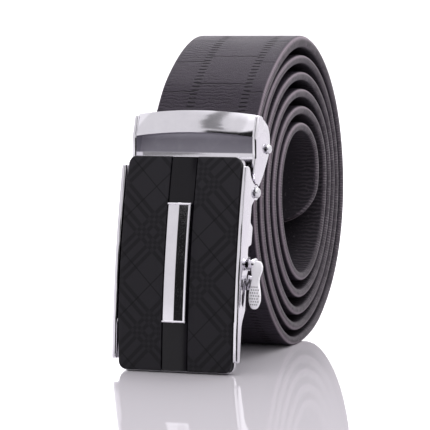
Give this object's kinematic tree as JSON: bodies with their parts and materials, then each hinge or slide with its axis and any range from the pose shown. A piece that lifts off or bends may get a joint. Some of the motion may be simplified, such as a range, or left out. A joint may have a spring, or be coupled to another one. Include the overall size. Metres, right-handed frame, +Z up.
{
  "type": "ratchet belt",
  "caption": "Leather belt with an automatic ratchet buckle, wound in a standing oval coil, with a hinged clamp, keeper loop and release lever.",
  "frame": {"origin": "centre of the flattened facet on which the coil's lowest winding stands, on the strap's middle line", "axes": "+Z up, +X across the strap towards the lever's thumb tab, -Y towards the buckle's face"},
  "size_m": [0.0468, 0.098, 0.0943],
  "materials": {
    "leather": "dark embossed grain, satin, with painted edges",
    "track_plastic": "moulded nylon",
    "chrome": "polished plating over cast zinc",
    "face_black": "black satin with a fine two-tone check",
    "gloss_black": "glossy black enamel"
  },
  "bodies": {
    "belt": {"strap": "leather", "ratchet_track": "track_plastic", "clamp_frame": "chrome", "clamp_jaw": "chrome", "jaw_pin": "chrome", "hinge_pin": "chrome"},
    "buckle": {"buckle_frame": "chrome", "face_plate": "face_black", "centre_strip": "gloss_black", "accent_inlay": "chrome", "lever_pin": "chrome"},
    "lever": {"release_lever": "chrome"}
  },
  "joints": [
    {"name": "buckle_hinge", "type": "hinge", "parent": "belt", "child": "buckle", "pos_m": [0, -0.03651, 0.05252], "axis": [-1, 0, 0], "range_deg": [0, 15]},
    {"name": "lever_pivot", "type": "hinge", "parent": "buckle", "child": "lever", "pos_m": [0, -0.04327, 0.03181], "axis": [1, 0, 0], "range_deg": [0, 16], "stiffness_Nm_per_rad": 0.02}
  ]
}
